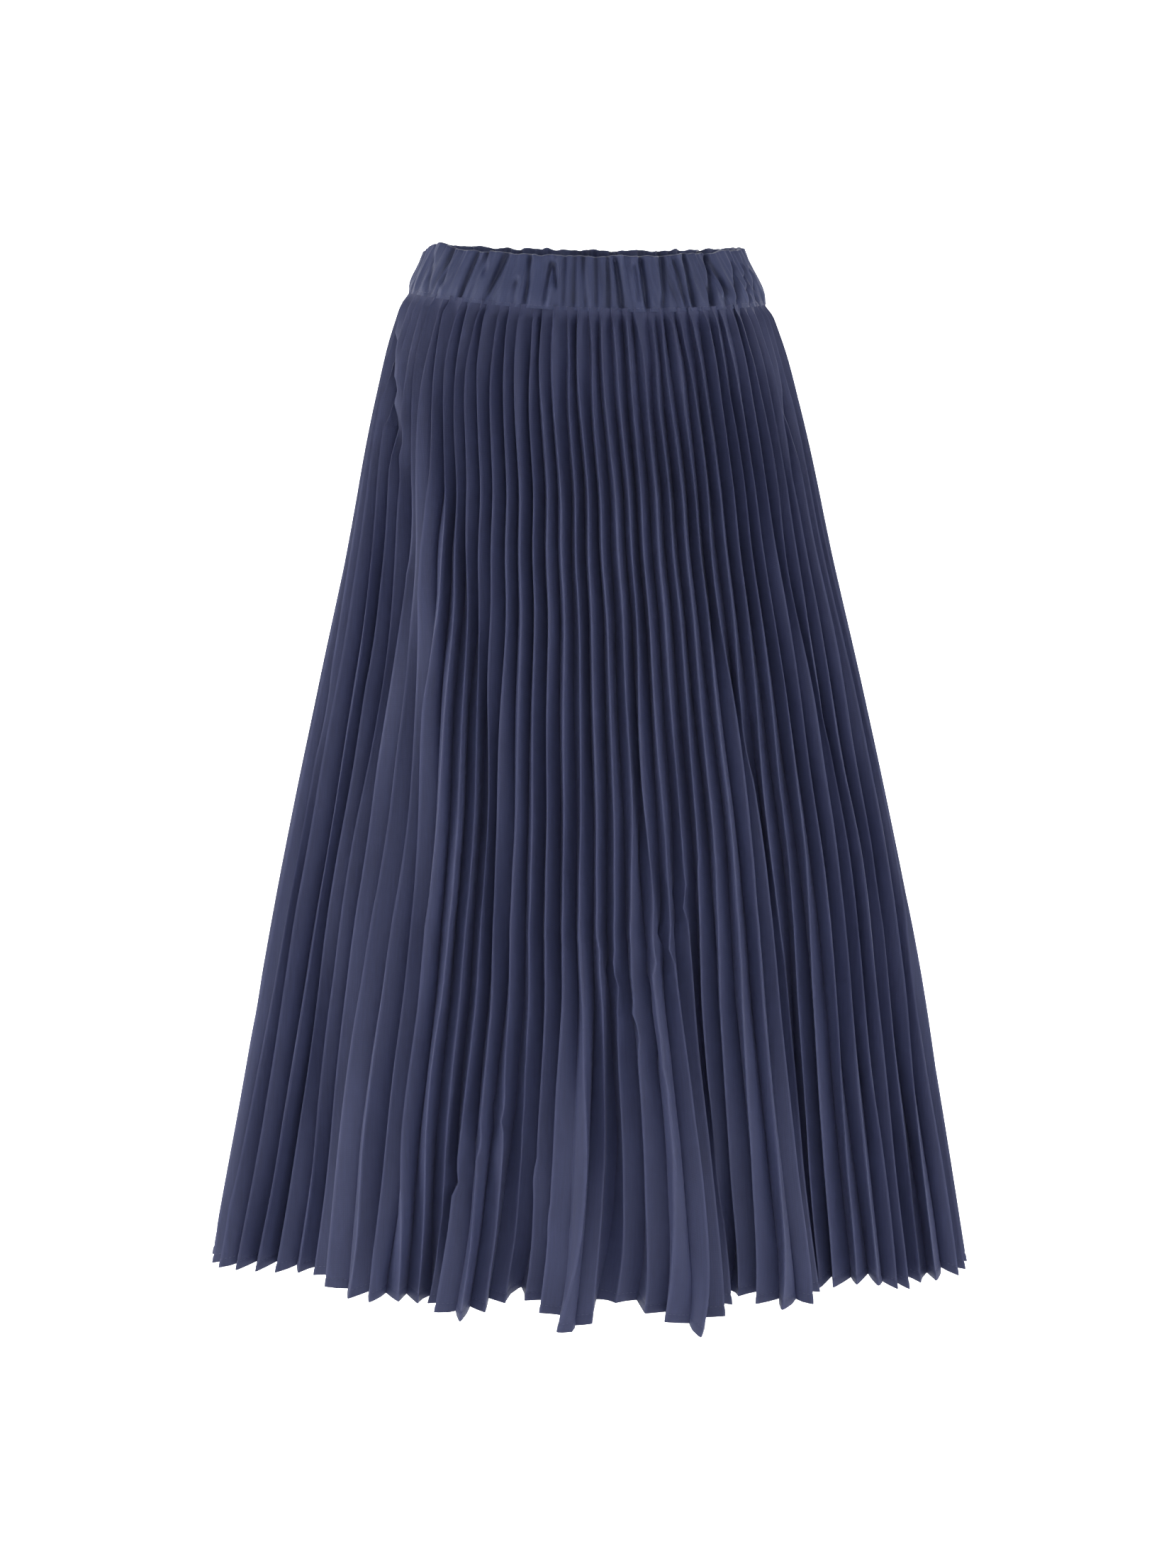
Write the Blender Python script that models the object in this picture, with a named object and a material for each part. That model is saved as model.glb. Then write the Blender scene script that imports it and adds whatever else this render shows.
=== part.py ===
"""A long accordion-pleated skirt on a gathered elastic waistband, hollow, as it hangs when it is worn.

Metres, +Z up. The origin is the middle of the waistband, where the waist holds the skirt. The front faces
-Y, and the side that a viewer of the front sees on the left is -X. A place round the skirt is its turn in
degrees: 0 at the left side seam, 90 at the middle of the front, 180 at the right side seam, 270 at the
middle of the back.
"""

import bpy
import numpy as np

# Cloth and seams
CLOTH = 0.0010
CASING = 0.0030
SEAM_GAP = 0.0003

# Pleats: the width of cloth between two creases grows from the waist seam to the hem
PLEATS_EACH_HALF = 42
PANEL_AT_SEAM = 0.0155
PANEL_AT_HEM = 0.0180
UNEVEN_PANELS = 0.06
PLEAT_LAY = 0.45  # of the spacing, how far an outer crease is pressed over towards a smaller turn
LAY_WHEN_OPEN = 0.10  # the same where a pleat is pulled flat
SHALLOWEST_PLEAT = 0.10  # of the panel's width, where a pleat is pulled open
ROOM_IN_BEND = 1.1  # of a bend's radius, the deepest that a pleat can be inside it
PRESSED_AT_SEAM = 0.25  # of its free depth, where a pleat is stitched flat under the waistband
FREE_BELOW = 0.20  # of the length, where the stitching no longer presses it
OUTER_CREASE_DROP = 0.0040  # how much lower an outer crease ends than an inner one at the hem

# Heights at the left side, front, right side and back
WAIST_TOP = (0.0290, 0.0212, 0.0260, 0.0240)
WAIST_SEAM = (-0.0085, -0.0210, -0.0180, -0.0200)
HEM = (-0.7960, -0.8050, -0.7990, -0.8040)

# Half-widths and depths of the smooth line that the pleats swing about. Down runs from 0, seam, to 1, hem.
SECTION_COLUMNS = ("down", "left", "right", "front", "back")
SECTIONS = (
    (0.00, 0.1409, 0.1394, 0.0929, 0.0969),
    (0.05, 0.1533, 0.1528, 0.0997, 0.1057),
    (0.10, 0.1618, 0.1623, 0.1013, 0.1093),
    (0.22, 0.1793, 0.1818, 0.1028, 0.1148),
    (0.40, 0.2092, 0.2146, 0.1057, 0.1207),
    (0.60, 0.2424, 0.2489, 0.1084, 0.1254),
    (0.80, 0.2727, 0.2772, 0.1122, 0.1292),
    (1.00, 0.3035, 0.3035, 0.1180, 0.1330),
)
BAND_SECTIONS = (
    (0.00, 0.1265, 0.1215, 0.0820, 0.0850),
    (1.00, 0.1410, 0.1395, 0.0930, 0.0970),
)

# Large folds: where each lies at the seam, midway and at the hem and how wide it is, in degrees of turn;
# how far it stands out, hangs lower and leans towards a larger turn at its fullest, in metres; the share by
# which its pleats are pulled open; how far down the skirt it starts and is full
FOLD_COLUMNS = ("seam", "midway", "hem", "width", "out", "drop", "lean", "open", "start", "full")
FRONT_FOLDS = (
    (34.0, 31.0, 30.0, 17.0, -0.023, -0.005, 0.000, 0.10, 0.00, 0.40),
    (32.0, 48.0, 49.0, 8.0, 0.000, 0.000, 0.000, 0.60, 0.02, 0.30),
    (34.0, 38.0, 40.0, 5.5, -0.012, -0.004, 0.003, 0.00, 0.50, 1.00),
    (32.0, 60.5, 57.5, 4.5, 0.010, -0.005, -0.004, 0.00, 0.02, 0.30),
    (42.0, 70.0, 65.0, 4.5, -0.011, -0.002, 0.003, 0.00, 0.05, 0.60),
    (73.0, 73.0, 70.5, 4.2, 0.014, 0.004, -0.005, 0.00, 0.35, 1.00),
    (79.0, 80.0, 79.5, 4.0, -0.018, -0.010, -0.002, 0.60, 0.55, 1.00),
    (88.0, 88.0, 88.0, 2.8, 0.020, 0.012, -0.002, 0.40, 0.60, 1.00),
    (95.0, 94.0, 94.0, 4.5, -0.006, -0.007, 0.000, 0.90, 0.65, 1.00),
    (98.0, 100.0, 105.2, 4.4, 0.020, 0.009, 0.004, 0.60, 0.40, 1.00),
    (105.0, 108.0, 113.8, 3.9, -0.022, -0.006, -0.003, 0.20, 0.35, 0.95),
    (120.0, 118.0, 122.0, 4.6, 0.006, 0.000, 0.007, 0.30, 0.30, 1.00),
    (130.0, 128.0, 130.5, 5.7, -0.028, -0.005, -0.004, 0.00, 0.30, 1.00),
    (139.0, 139.0, 139.0, 5.0, -0.002, -0.010, 0.000, 0.00, 0.50, 1.00),
    (152.0, 152.0, 152.0, 12.0, -0.015, 0.002, 0.000, 0.00, 0.35, 1.00),
)
BACK_FOLDS = (
    (211.0, 211.0, 211.0, 11.0, -0.013, -0.002, 0.000, 0.00, 0.35, 1.00),
    (224.0, 226.0, 228.0, 5.2, -0.027, -0.004, -0.003, 0.00, 0.25, 1.00),
    (236.0, 238.0, 238.0, 5.2, 0.004, 0.001, 0.006, 0.10, 0.15, 0.80),
    (248.0, 250.0, 248.0, 4.2, -0.018, -0.003, 0.000, 0.15, 0.45, 1.00),
    (260.0, 259.0, 257.5, 4.6, 0.018, 0.005, -0.003, 0.20, 0.40, 1.00),
    (268.0, 269.0, 267.5, 4.4, -0.018, -0.004, 0.000, 0.25, 0.55, 1.00),
    (276.0, 276.0, 277.5, 4.4, 0.019, 0.006, 0.003, 0.15, 0.50, 1.00),
    (286.0, 285.0, 287.0, 4.6, -0.012, -0.003, 0.000, 0.25, 0.60, 1.00),
    (299.0, 298.0, 296.0, 4.6, 0.013, 0.004, 0.004, 0.20, 0.40, 1.00),
    (307.0, 306.0, 304.5, 4.4, -0.024, -0.005, -0.003, 0.00, 0.40, 1.00),
    (316.0, 315.0, 313.5, 5.2, 0.002, 0.000, -0.005, 0.10, 0.20, 0.90),
    (331.0, 330.0, 329.0, 11.0, -0.013, -0.002, 0.000, 0.00, 0.35, 1.00),
)

# Rows of the mesh, from the seam to the hem, closer where the form changes quickly
SKIRT_ROWS = (0.0, 0.02, 0.05, 0.10, 0.17, 0.25, 0.33, 0.41, 0.49, 0.57, 0.65, 0.73, 0.80, 0.87, 0.94, 1.0)

# Gathers of the waistband: ridges of cloth over the elastic
GATHERS = 84
GATHER_DEPTH = 0.0014
GATHER_HEIGHTS = (0.5, 1.2)  # the lowest and the highest ridge, as shares of that depth
BAND_ROLL = 0.0012  # how far the folded top edge is rounded in
BAND_ROWS = (0.0, 0.06, 0.5, 1.0)  # the first is the folded edge
LINE_STEPS = 1440  # straight steps in the smooth line of one half

MIDNIGHT_BLUE = (0.045, 0.050, 0.110, 1.0)


def smooth_step(share):
    """Rises from 0 to 1 with no corner at either end."""
    share = np.clip(share, 0.0, 1.0)
    return share * share * (3.0 - 2.0 * share)


def around(heights, turn):
    """A height given at the left, front, right and back, carried round as a mean, a tilt and a saddle."""
    left, front, right, back = heights
    angle = np.radians(turn)
    mean = (left + front + right + back) / 4
    tilt = (left - right) / 2 * np.cos(angle) + (front - back) / 2 * np.sin(angle)
    saddle = (left + right - front - back) / 4 * np.cos(2 * angle)
    return mean + tilt + saddle


def section(table, down):
    """Half-widths and depths at one place down the cloth, on a smooth curve through the table's rows."""
    columns = dict(zip(SECTION_COLUMNS, np.array(table).T))
    downs = columns["down"]
    low = int(np.clip(np.searchsorted(downs, down) - 1, 0, len(downs) - 2))
    span = downs[low + 1] - downs[low]
    share = (down - downs[low]) / span
    sizes = {}
    for name in SECTION_COLUMNS[1:]:
        values = columns[name]
        rise = values[low + 1] - values[low]
        leaving, arriving = np.gradient(values, downs)[low : low + 2] * span - rise
        bend = share * (1 - share) * ((1 - share) * leaving - share * arriving)
        sizes[name] = values[low] + rise * share + bend
    return sizes


def ellipse(sizes, turn):
    """The plain outline: an ellipse whose half-width and depth differ from side to side."""
    angle = np.radians(turn)
    wide = np.where(np.cos(angle) > 0, sizes["left"], sizes["right"])
    deep = np.where(np.sin(angle) > 0, sizes["front"], sizes["back"])
    return np.stack([-wide * np.cos(angle), -deep * np.sin(angle)], axis=-1)


def directions(line):
    """Unit vectors along a line and out of it, to the side away from the skirt's middle."""
    along = np.gradient(line, axis=0)
    along /= np.linalg.norm(along, axis=1, keepdims=True)
    return along, np.stack([along[:, 1], -along[:, 0]], axis=-1)


def fold_sum(folds, turn, down, name):
    """What the large folds add up to at each turn.

    Each is a bell curve that grows from its start until it is full. Its middle follows a parabola through
    its places at the seam, midway and at the hem.
    """
    total = np.zeros_like(turn)
    for fold in folds:
        row = dict(zip(FOLD_COLUMNS, fold))
        middle = (
            row["seam"] * (1 - down) * (1 - 2 * down)
            + row["midway"] * 4 * down * (1 - down)
            + row["hem"] * down * (2 * down - 1)
        )
        grown = smooth_step((down - row["start"]) / (row["full"] - row["start"]))
        total += row[name] * grown * np.exp(-(((turn - middle) / row["width"]) ** 2))
    return total


def swaying_line(folds, turn, down):
    """The ellipse at this place down the skirt, pushed out and sideways by the large folds."""
    line = ellipse(section(SECTIONS, down), turn)
    along, outward = directions(line)
    out = fold_sum(folds, turn, down, "out")[:, None]
    lean = fold_sum(folds, turn, down, "lean")[:, None]
    return line + out * outward + lean * along


def crease_shares(seed):
    """Where the creases of one half lie along its cloth, from 0 to 1, a little unevenly."""
    draw = np.random.default_rng(seed)
    widths = 1.0 + UNEVEN_PANELS * draw.uniform(-1.0, 1.0, 2 * PLEATS_EACH_HALF)
    return np.concatenate([[0.0], np.cumsum(widths)]) / widths.sum()


def pleated_row(folds, first_turn, shares, down):
    """Outer and inner face of the wall at one place down a half, as (creases, 3) arrays.

    The creases are spaced evenly along the swaying line, wider where a fold pulls its pleats open, and lie
    in and out of the line by turns. Outer ones are pressed over, so that a pleat has a steep and a slanting
    panel. A pleat's depth is what its panel's width leaves after that spacing, by Pythagoras, or what the
    line's bend has room for. The wall's two faces are the same zigzag, moved apart so that its steeper
    panels are as thick as the cloth.
    """
    turn = np.linspace(first_turn, first_turn + 180.0, LINE_STEPS + 1)
    line = swaying_line(folds, turn, down)
    steps = np.linalg.norm(np.diff(line, axis=0), axis=1)
    along, outward = directions(line)
    heading = np.unwrap(np.arctan2(along[:, 1], along[:, 0]))
    bend = np.abs(np.gradient(heading)) / np.gradient(np.concatenate([[0.0], np.cumsum(steps)]))
    opened = 1.0 + fold_sum(folds, turn, down, "open")
    cloth = np.concatenate([[0.0], np.cumsum(steps * 2 / (opened[1:] + opened[:-1]))])
    steps_at = np.arange(LINE_STEPS + 1)
    length = np.concatenate([[0.0], np.cumsum(steps)])
    length_at = np.interp(shares * cloth[-1], cloth, length)
    spacing = np.gradient(length_at)
    panel = PANEL_AT_SEAM + (PANEL_AT_HEM - PANEL_AT_SEAM) * down
    lay = np.minimum(PLEAT_LAY, LAY_WHEN_OPEN * (panel / spacing) ** 2)
    outside = np.arange(len(shares)) % 2 == 1
    at = np.interp(length_at - outside * lay * spacing, length, steps_at)
    outward[[0, -1]] = [[-1.0, 0.0], [1.0, 0.0]] if first_turn == 0.0 else [[1.0, 0.0], [-1.0, 0.0]]
    middle = np.stack([np.interp(at, steps_at, line[:, axis]) for axis in (0, 1)], axis=-1)
    outward = np.stack([np.interp(at, steps_at, outward[:, axis]) for axis in (0, 1)], axis=-1)
    outward /= np.linalg.norm(outward, axis=1, keepdims=True)
    crease_turn = np.interp(at, steps_at, turn)

    depth = np.sqrt(np.maximum(panel**2 - spacing**2 * (1.0 + lay**2), (SHALLOWEST_PLEAT * panel) ** 2))
    depth = np.minimum(depth, ROOM_IN_BEND / np.interp(at, steps_at, bend))
    depth *= PRESSED_AT_SEAM + (1.0 - PRESSED_AT_SEAM) * smooth_step(down / FREE_BELOW)
    side = np.where(outside, 0.5, -0.5)
    steeper = spacing * (1.0 - lay)
    thickness = CLOTH * np.hypot(depth, steeper) / steeper

    top = around(WAIST_SEAM, crease_turn) - SEAM_GAP / 2
    bottom = around(HEM, crease_turn)
    drop = fold_sum(folds, crease_turn, down, "drop") + side * OUTER_CREASE_DROP
    height = top + (bottom - top) * down - drop * down**3
    faces = []
    for half_wall in (0.5, -0.5):
        flat = middle + (side * depth + half_wall * thickness)[:, None] * outward
        flat[[0, -1], 1] += SEAM_GAP / 2 * (-1.0 if first_turn == 0.0 else 1.0)
        faces.append(np.column_stack([flat, height]))
    return faces


def wall_mesh(name, outer, inner, closed):
    """A closed wall between two grids of points, rows from top to bottom and columns with growing turn."""
    rows, columns = outer.shape[:2]
    spots = np.arange(rows * columns).reshape(rows, columns)
    within = rows * columns
    if closed:
        spots = np.column_stack([spots, spots[:, :1]])

    def strip(first, second):
        """Triangles between two lines of points, facing the side from which first lies above second."""
        upper = np.stack([first[:-1], second[:-1], second[1:]], axis=-1)
        lower = np.stack([first[:-1], second[1:], first[1:]], axis=-1)
        return np.concatenate([upper.reshape(-1, 3), lower.reshape(-1, 3)])

    parts = []
    for row in range(rows - 1):
        parts.append(strip(spots[row], spots[row + 1]))
        parts.append(strip(spots[row], spots[row + 1])[:, ::-1] + within)
    parts.append(strip(spots[0] + within, spots[0]))
    parts.append(strip(spots[-1], spots[-1] + within))
    if not closed:
        parts.append(strip(spots[:, 0], spots[:, 0] + within))
        parts.append(strip(spots[:, -1] + within, spots[:, -1]))
    mesh = bpy.data.meshes.new(name)
    points = np.concatenate([outer.reshape(-1, 3), inner.reshape(-1, 3)])
    mesh.from_pydata(points.tolist(), [], np.concatenate(parts).tolist())
    mesh.update()
    return mesh


def skirt_half(name, folds, first_turn, seed):
    """One half of the skirt, from one side seam to the other."""
    shares = crease_shares(seed)
    rows = [pleated_row(folds, first_turn, shares, down) for down in SKIRT_ROWS]
    outer = np.array([row[0] for row in rows])
    inner = np.array([row[1] for row in rows])
    return wall_mesh(name, outer, inner, closed=False)


def waistband(name, seed):
    """The casing: a ring that widens to the seam, plain inside and gathered outside, rounded at the top."""
    draw = np.random.default_rng(seed)
    turn = np.arange(2 * GATHERS) * 180.0 / GATHERS
    ridge = np.where(np.arange(2 * GATHERS) % 2 == 1, 0.5, -0.5) * GATHER_DEPTH
    ridge *= draw.uniform(*GATHER_HEIGHTS, 2 * GATHERS)
    top = around(WAIST_TOP, turn)
    bottom = around(WAIST_SEAM, turn) + SEAM_GAP / 2
    outer = []
    inner = []
    for down in BAND_ROWS:
        rolled = BAND_ROLL if down == 0.0 else 0.0
        line = ellipse(section(BAND_SECTIONS, down), turn)
        ring = np.concatenate([line[-1:], line, line[:1]])
        outward = directions(ring)[1][1:-1]
        height = (top + (bottom - top) * down)[:, None]
        outer.append(np.hstack([line + (CASING / 2 + ridge - rolled)[:, None] * outward, height]))
        inner.append(np.hstack([line - (CASING / 2 - rolled / 2) * outward, height]))
    return wall_mesh(name, np.array(outer), np.array(inner), closed=True)


def dyed_cloth(name, roughness):
    """Woven polyester dyed midnight blue, with a dull sheen."""
    material = bpy.data.materials.new(name)
    material.use_nodes = True
    shader = material.node_tree.nodes["Principled BSDF"]
    shader.inputs["Base Color"].default_value = MIDNIGHT_BLUE
    shader.inputs["Roughness"].default_value = roughness
    shader.inputs["Metallic"].default_value = 0.0
    return material


def add_piece(collection, mesh, material):
    """Put a mesh in the scene as a piece of its own."""
    mesh.materials.append(material)
    collection.objects.link(bpy.data.objects.new(mesh.name, mesh))


def main():
    for old in list(bpy.data.objects):
        bpy.data.objects.remove(old, do_unlink=True)
    collection = bpy.data.collections.new("pleated_skirt")
    bpy.context.scene.collection.children.link(collection)
    band = waistband("waistband", seed=5)
    front = skirt_half("skirt_front", FRONT_FOLDS, first_turn=0.0, seed=11)
    back = skirt_half("skirt_back", BACK_FOLDS, first_turn=180.0, seed=23)
    add_piece(collection, band, dyed_cloth("waistband_cloth", roughness=0.62))
    add_piece(collection, front, dyed_cloth("front_cloth", roughness=0.55))
    add_piece(collection, back, dyed_cloth("back_cloth", roughness=0.55))


main()
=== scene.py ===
"""The looks of a long accordion-pleated skirt on a gathered elastic waistband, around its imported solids."""

import bpy
import numpy as np
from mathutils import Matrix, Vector


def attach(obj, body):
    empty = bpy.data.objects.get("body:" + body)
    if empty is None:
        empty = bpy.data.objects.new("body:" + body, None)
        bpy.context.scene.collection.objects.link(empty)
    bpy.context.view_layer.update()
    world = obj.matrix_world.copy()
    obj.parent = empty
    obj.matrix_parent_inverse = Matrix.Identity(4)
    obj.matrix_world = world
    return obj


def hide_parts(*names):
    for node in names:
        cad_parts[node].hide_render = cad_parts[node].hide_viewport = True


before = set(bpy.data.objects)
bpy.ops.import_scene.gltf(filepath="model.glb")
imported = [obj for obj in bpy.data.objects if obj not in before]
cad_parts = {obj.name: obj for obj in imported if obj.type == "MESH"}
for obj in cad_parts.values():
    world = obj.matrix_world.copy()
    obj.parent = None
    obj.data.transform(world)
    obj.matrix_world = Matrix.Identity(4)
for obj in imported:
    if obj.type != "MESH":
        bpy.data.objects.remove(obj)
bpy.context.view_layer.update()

# Metres, +Z up, the front faces -Y. A place round the skirt is its turn in degrees: 0 at the left side
# seam, 90 at the middle of the front, 180 at the right side seam, 270 at the middle of the back. Down runs
# from 0 at the waist seam to 1 at the hem.

# Cloth and seams
CLOTH = 0.0005
CASING = 0.0030  # two layers of cloth and the elastic between them
SEAM_GAP = 0.0003
LENGTH = 0.79  # from the waist seam to the hem

# Pleats, cut and spaced as in the solids, but less flat at the seam
PLEATS_EACH_HALF = 42
PANEL_AT_SEAM = 0.0155
PANEL_AT_HEM = 0.0180
UNEVEN_PANELS = 0.06
PLEAT_LAY = 0.45  # of the spacing, how far an outer crease is pressed over towards a smaller turn
LAY_WHEN_OPEN = 0.10  # the same where a pleat is pulled flat
SHALLOWEST_PLEAT = 0.10  # of a panel's width
ROOM_IN_BEND = 1.1  # of a bend's radius, the deepest that a pleat gets there
PRESSED_AT_SEAM = 0.55  # of its own depth, what a pleat keeps at the seam, and how far down it has it all
FREE_BELOW = 0.20
OUTER_CREASE_DROP = 0.0040  # how much lower the hem's points hang than the notches between them
LINE_STEPS = 1440

# Heights at the left side, front, right side and back
WAIST_TOP = (0.0290, 0.0212, 0.0260, 0.0240)
WAIST_SEAM = (-0.0085, -0.0210, -0.0180, -0.0200)
HEM = (-0.7960, -0.8050, -0.7990, -0.8040)

SECTION_COLUMNS = ("down", "left", "right", "front", "back")
SECTIONS = (
    (0.00, 0.1409, 0.1394, 0.0929, 0.0969),
    (0.05, 0.1533, 0.1528, 0.0997, 0.1057),
    (0.10, 0.1618, 0.1623, 0.1013, 0.1093),
    (0.22, 0.1793, 0.1818, 0.1028, 0.1148),
    (0.40, 0.2092, 0.2146, 0.1057, 0.1207),
    (0.60, 0.2424, 0.2489, 0.1084, 0.1254),
    (0.80, 0.2727, 0.2772, 0.1122, 0.1292),
    (1.00, 0.3035, 0.3035, 0.1180, 0.1330),
)
BAND_SECTIONS = (
    (0.00, 0.1265, 0.1215, 0.0820, 0.0850),
    (1.00, 0.1410, 0.1395, 0.0930, 0.0970),
)

# Large folds, as in the solids: turns at the seam, midway and at the hem, width in degrees, metres out,
# down and sideways, the share by which pleats are pulled open, and where down the skirt each starts and is
# full
FOLD_COLUMNS = ("seam", "midway", "hem", "width", "out", "drop", "lean", "open", "start", "full")
FRONT_FOLDS = (
    (34.0, 31.0, 30.0, 17.0, -0.023, -0.005, 0.000, 0.10, 0.00, 0.40),
    (32.0, 48.0, 49.0, 8.0, 0.000, 0.000, 0.000, 0.60, 0.02, 0.30),
    (34.0, 38.0, 40.0, 5.5, -0.012, -0.004, 0.003, 0.00, 0.50, 1.00),
    (32.0, 60.5, 57.5, 4.5, 0.010, -0.005, -0.004, 0.00, 0.02, 0.30),
    (42.0, 70.0, 65.0, 4.5, -0.011, -0.002, 0.003, 0.00, 0.05, 0.60),
    (73.0, 73.0, 70.5, 4.2, 0.014, 0.004, -0.005, 0.00, 0.35, 1.00),
    (79.0, 80.0, 79.5, 4.0, -0.018, -0.010, -0.002, 0.60, 0.55, 1.00),
    (88.0, 88.0, 88.0, 2.8, 0.020, 0.012, -0.002, 0.40, 0.60, 1.00),
    (95.0, 94.0, 94.0, 4.5, -0.006, -0.007, 0.000, 0.90, 0.65, 1.00),
    (98.0, 100.0, 105.2, 4.4, 0.020, 0.009, 0.004, 0.60, 0.40, 1.00),
    (105.0, 108.0, 113.8, 3.9, -0.022, -0.006, -0.003, 0.20, 0.35, 0.95),
    (120.0, 118.0, 122.0, 4.6, 0.006, 0.000, 0.007, 0.30, 0.30, 1.00),
    (130.0, 128.0, 130.5, 5.7, -0.028, -0.005, -0.004, 0.00, 0.30, 1.00),
    (139.0, 139.0, 139.0, 5.0, -0.002, -0.010, 0.000, 0.00, 0.50, 1.00),
    (152.0, 152.0, 152.0, 12.0, -0.015, 0.002, 0.000, 0.00, 0.35, 1.00),
)
BACK_FOLDS = (
    (211.0, 211.0, 211.0, 11.0, -0.013, -0.002, 0.000, 0.00, 0.35, 1.00),
    (224.0, 226.0, 228.0, 5.2, -0.027, -0.004, -0.003, 0.00, 0.25, 1.00),
    (236.0, 238.0, 238.0, 5.2, 0.004, 0.001, 0.006, 0.10, 0.15, 0.80),
    (248.0, 250.0, 248.0, 4.2, -0.018, -0.003, 0.000, 0.15, 0.45, 1.00),
    (260.0, 259.0, 257.5, 4.6, 0.018, 0.005, -0.003, 0.20, 0.40, 1.00),
    (268.0, 269.0, 267.5, 4.4, -0.018, -0.004, 0.000, 0.25, 0.55, 1.00),
    (276.0, 276.0, 277.5, 4.4, 0.019, 0.006, 0.003, 0.15, 0.50, 1.00),
    (286.0, 285.0, 287.0, 4.6, -0.012, -0.003, 0.000, 0.25, 0.60, 1.00),
    (299.0, 298.0, 296.0, 4.6, 0.013, 0.004, 0.004, 0.20, 0.40, 1.00),
    (307.0, 306.0, 304.5, 4.4, -0.024, -0.005, -0.003, 0.00, 0.40, 1.00),
    (316.0, 315.0, 313.5, 5.2, 0.002, 0.000, -0.005, 0.10, 0.20, 0.90),
    (331.0, 330.0, 329.0, 11.0, -0.013, -0.002, 0.000, 0.00, 0.35, 1.00),
)

# Creases that slant across the pleats: the middle's turn and place down, half its length and half its width
# in metres, how far it stands out, and its tilt from upright in degrees, positive where its foot is at the
# larger turn
CREASE_COLUMNS = ("turn", "down", "length", "width", "out", "tilt")
FRONT_CREASES = (
    (17.0, 0.09, 0.060, 0.0060, -0.0060, 24.0),
    (36.0, 0.20, 0.090, 0.0080, -0.0040, 8.0),
    (47.0, 0.30, 0.100, 0.0090, 0.0035, -6.0),
    (101.0, 0.52, 0.110, 0.0060, -0.0035, 4.0),
    (104.0, 0.62, 0.050, 0.0035, -0.0025, -22.0),
    (98.0, 0.70, 0.055, 0.0035, -0.0022, 18.0),
    (124.0, 0.44, 0.120, 0.0070, -0.0035, 5.0),
    (72.0, 0.84, 0.045, 0.0035, -0.0020, -20.0),
    (84.0, 0.88, 0.040, 0.0035, 0.0018, 16.0),
    (146.0, 0.34, 0.110, 0.0100, -0.0030, 6.0),
    (160.0, 0.10, 0.060, 0.0070, -0.0030, -16.0),
)
BACK_CREASES = (
    (197.0, 0.10, 0.060, 0.0070, -0.0030, 18.0),
    (214.0, 0.34, 0.100, 0.0090, -0.0030, -6.0),
    (243.0, 0.48, 0.110, 0.0060, -0.0035, -4.0),
    (262.0, 0.66, 0.050, 0.0035, -0.0025, 20.0),
    (281.0, 0.56, 0.100, 0.0060, -0.0030, 5.0),
    (290.0, 0.84, 0.045, 0.0035, 0.0020, -18.0),
    (312.0, 0.30, 0.100, 0.0090, 0.0030, 6.0),
    (343.0, 0.10, 0.060, 0.0060, -0.0045, -20.0),
)

# Finer form of the pleats, in metres or as shares of the space between two creases. Names that end in DOWN
# and TURN say over how much of the length or how many degrees it changes, FULL where down it has grown.
RIPPLE = 0.0014
RIPPLE_DOWN = 0.22
RIPPLE_TURN = 7.0
RIPPLE_FULL = 0.5
CREASE_SLIDE = 0.045
CREASE_SLIDE_DOWN = 0.16
CREASE_SLIDE_FULL = 0.2
OUTER_SLIDE = 0.05
MOST_SLIDE = 0.42
DEPTH_CHANGE = 0.10
BOW = 0.0003
BOW_CHANGE = 0.0004
BOW_DOWN = 0.14
BOW_FULL = 0.08
CREASE_SHARPNESS = 0.9985
PANEL_PLACES = (0.0, 0.035, 0.13, 0.50, 0.87, 0.965)  # grid columns across a panel, closer at its creases
HIGHLIGHT_FULL_DOWN = 0.22  # where the painted highlight on the outer creases is as pale as it gets
SIDE_SEAM_FADE = 7.0  # degrees over which finer form dies out, so that the halves meet
SIDE_SEAM_CREASES = 4  # the same for what creases do one by one
FINER_SEED = 100  # added to a half's seed, whose own draws are the solids'

# Puckers that the waist stitching pulls into the top of the pleats. A reach is how far below the seam they
# go, in metres.
PUCKER_SLIDE = 0.38
PUCKER_DEPTH = 0.50
PUCKER_DOWN = 0.12
PUCKER_REACH = 0.060
STITCHED_FLAT = 0.75  # what the stitching takes from a pleat's depth at the seam
STITCHED_FLAT_REACH = 0.0060
PULLED_IN = 0.0004
PULLED_IN_REACH = 0.0040
PUFFED_OUT = 0.0002
PUFFED_OUT_AT = 0.0120
PUFFED_OUT_REACH = 0.0080

# Turned hem
HEM_STITCH_UP = 0.0072
HEM_GROOVE = 0.0004
HEM_GROOVE_WIDTH = 0.0012
HEM_LAYER = 0.0006  # what the turned-up layer adds to the thickness
HEM_WANDER = 0.0012
HEM_WANDER_WIDTH = 0.02  # of a half's width

# Grid rows: metres below the seam, where the first is tucked into the casing, a count of even rows, and
# metres above the hem's edge
TOP_ROWS = np.array([-3, 0, 1.5, 4, 7, 10.5, 14.5, 19, 24, 30, 37, 45, 54, 64]) / 1000
EVEN_ROWS = 71
HEM_ROWS = np.array([11.5, 9.2, 8.0, 7.2, 6.4, 4.4, 2.0, 0.6, 0.0]) / 1000

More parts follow.
